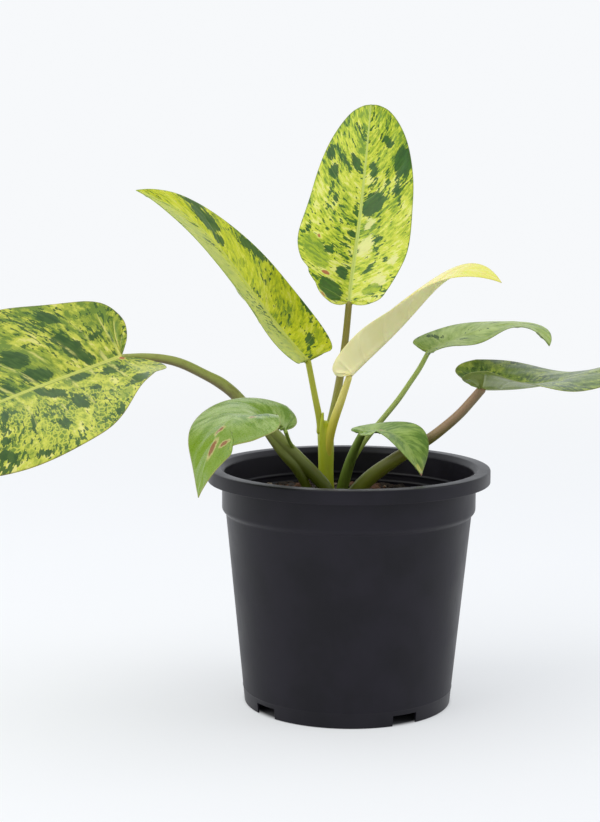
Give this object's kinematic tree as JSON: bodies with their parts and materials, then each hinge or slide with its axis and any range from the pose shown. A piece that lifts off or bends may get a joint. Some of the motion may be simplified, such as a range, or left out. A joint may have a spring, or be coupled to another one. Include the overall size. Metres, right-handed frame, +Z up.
{
  "type": "potted spadeleaf philodendron",
  "caption": "Variegated spadeleaf philodendron, lime, cream and dark green, in a plain black plastic nursery pot.",
  "frame": {"origin": "centre of the pot's underside, on the surface that it stands on", "axes": "+Z up along the pot's axis, -Y towards the side the picture was taken from, +X to its right"},
  "size_m": [0.4128, 0.2025, 0.3229],
  "materials": {
    "black_plastic": "satin black moulded plastic",
    "potting_mix": "rough, matte, dark brown with bark chips",
    "green_stem": "satin, yellow-green",
    "brown_stem": "satin, olive to pinkish brown",
    "mottled_leaf": "satin, lime and cream mottled with dark green",
    "green_leaf": "satin, mid green",
    "cream_leaf": "satin, cream yellow"
  },
  "bodies": {
    "root": {"pot": "black_plastic", "soil": "potting_mix", "crown": "green_stem", "blade_upright": "mottled_leaf", "petiole_upright": "brown_stem", "blade_upper_left": "mottled_leaf", "petiole_upper_left": "green_stem", "blade_far_left": "mottled_leaf", "petiole_far_left": "brown_stem", "blade_small_left": "green_leaf", "petiole_small_left": "green_stem", "blade_new": "cream_leaf", "petiole_new": "green_stem", "blade_small_right": "green_leaf", "petiole_small_right": "green_stem", "blade_far_right": "mottled_leaf", "petiole_far_right": "brown_stem", "blade_small_front": "green_leaf", "petiole_small_front": "green_stem"}
  },
  "joints": []
}
